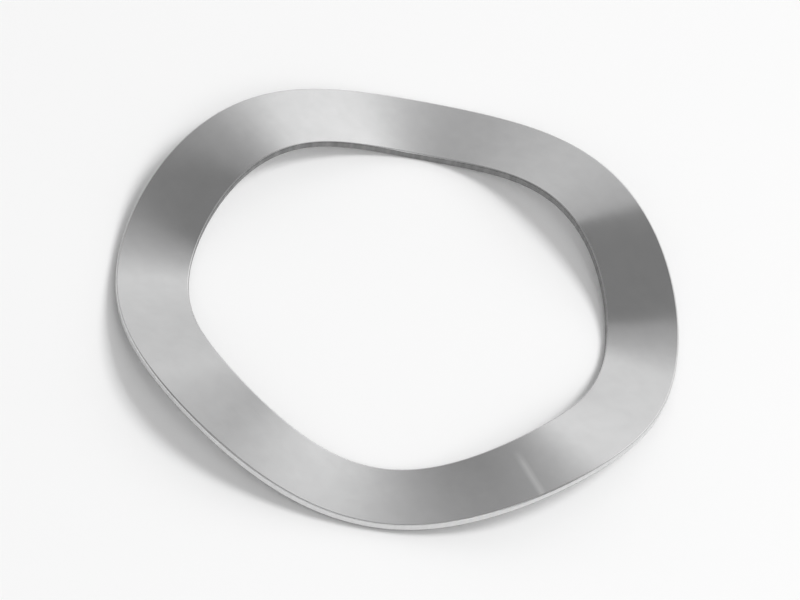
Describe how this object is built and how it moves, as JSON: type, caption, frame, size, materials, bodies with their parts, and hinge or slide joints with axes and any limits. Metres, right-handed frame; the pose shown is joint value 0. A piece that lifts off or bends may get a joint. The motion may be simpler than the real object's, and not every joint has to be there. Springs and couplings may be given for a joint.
{
  "type": "wave spring washer",
  "caption": "Thin flat-strip steel ring pressed into even waves, which sits round a shaft between two faces and takes up end play as a light axial spring.",
  "frame": {"origin": "on the ring's axis, at the level of the troughs that the washer lies on", "axes": "+Z along the ring's axis, away from the face it lies on; +X through a crest"},
  "size_m": [0.0344, 0.0344, 0.0023],
  "materials": {
    "spring_strip": "bright cold-rolled stainless spring strip, satin sheen with faint rolling grain, cut edges tumbled smooth"
  },
  "bodies": {
    "root": {"wave_washer": "spring_strip"}
  },
  "joints": []
}
